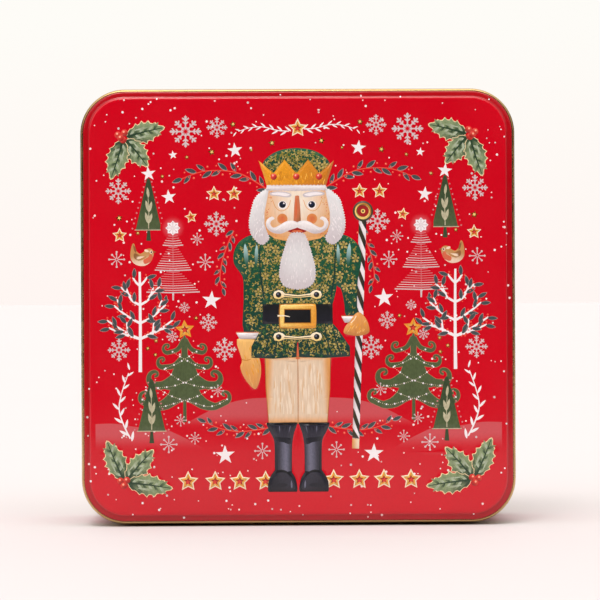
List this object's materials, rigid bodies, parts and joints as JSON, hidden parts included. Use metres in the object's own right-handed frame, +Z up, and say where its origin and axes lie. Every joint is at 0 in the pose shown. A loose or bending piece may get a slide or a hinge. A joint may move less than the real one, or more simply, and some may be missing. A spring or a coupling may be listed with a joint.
{
  "type": "cookie tin",
  "caption": "Shallow square cookie tin with rounded corners, a raised-panel lift-off lid and a seamed, recessed base, standing on its side.",
  "frame": {"origin": "centre of the tin's outline, on the surface that it stands on", "axes": "+Z up with the tin standing on its side, +Y from the lid through to the base, so the lid faces -Y and its figure stands upright"},
  "size_m": [0.202, 0.06, 0.202],
  "materials": {
    "printed_top": "glossy red lithographed tinplate with a printed and embossed winter scene",
    "printed_wall": "glossy red lithographed tinplate with small snow dots, gold lacquer inside",
    "gold_tinplate": "gold-lacquered tinplate, satin to glossy",
    "pad_paper": "corrugated glassine paper, matt"
  },
  "bodies": {
    "tin": {"body_wall": "printed_wall", "base_plate": "gold_tinplate", "cushion_pad": "pad_paper"},
    "lid": {"lid_top": "printed_top", "lid_band": "gold_tinplate"}
  },
  "joints": [
    {"name": "lid_lift_off", "type": "slide", "parent": "tin", "child": "lid", "axis": [0, -1, 0], "range_m": [0, 0.08]}
  ]
}
